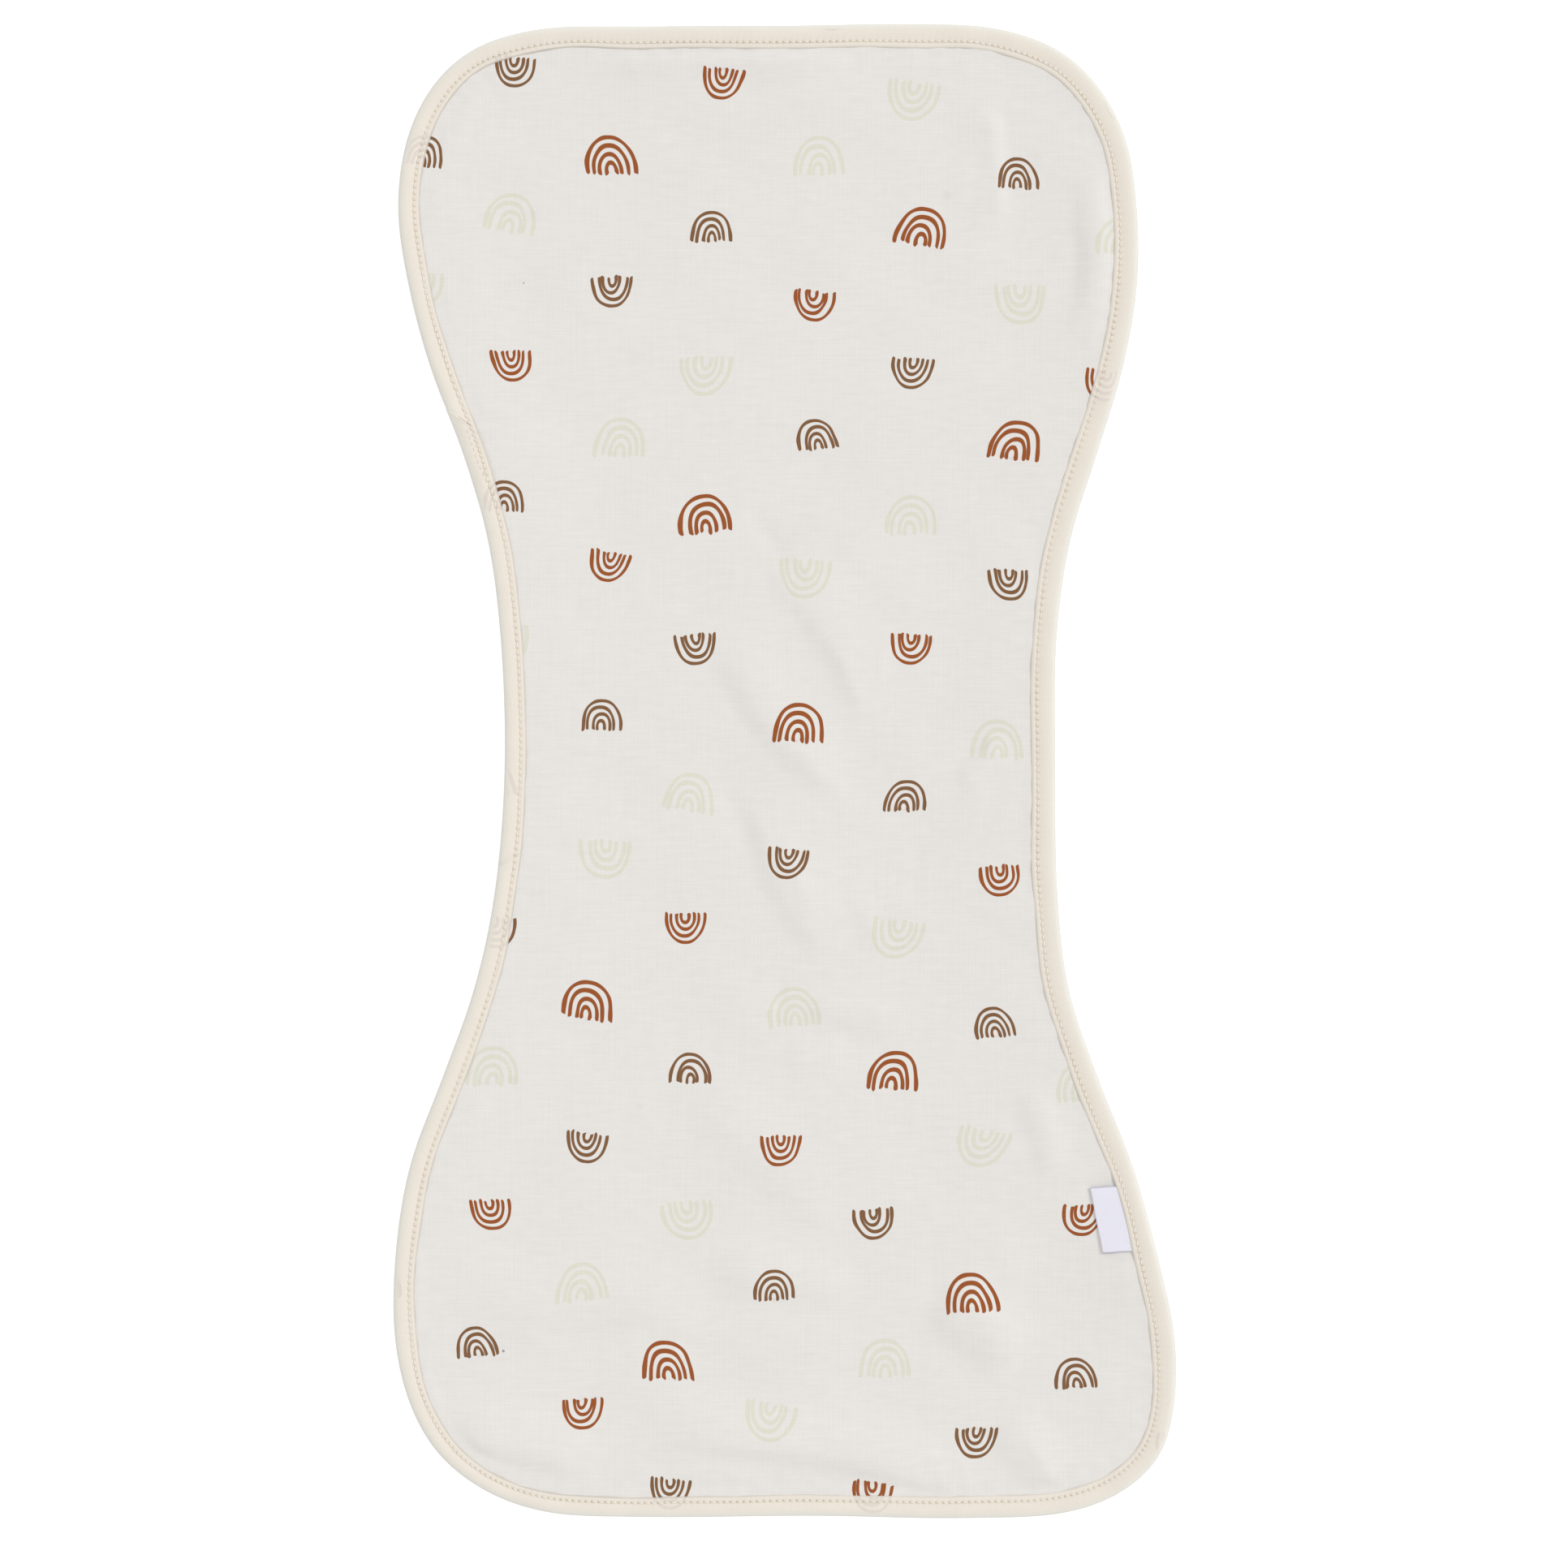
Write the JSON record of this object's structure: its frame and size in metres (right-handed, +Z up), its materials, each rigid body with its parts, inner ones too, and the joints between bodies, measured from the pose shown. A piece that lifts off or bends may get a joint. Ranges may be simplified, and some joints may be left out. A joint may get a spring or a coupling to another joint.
{
  "type": "burp cloth",
  "caption": "Waisted flat knit cloth with a bound edge and a blank loop label, laid over a shoulder or lap.",
  "frame": {"origin": "middle of the cloth's box, on the surface it lies on", "axes": "+Y along the cloth from its wide end to its narrower end, +X to the side that carries the label, +Z up out of the printed face"},
  "size_m": [0.2664, 0.5084, 0.0077],
  "materials": {
    "printed_knit": "matte off-white jersey with a small print",
    "binding_knit": "matte cream rib strip",
    "label_ribbon": "smooth woven satin ribbon"
  },
  "bodies": {
    "root": {"body_panel": "printed_knit", "binding": "binding_knit", "label": "label_ribbon"}
  },
  "joints": []
}
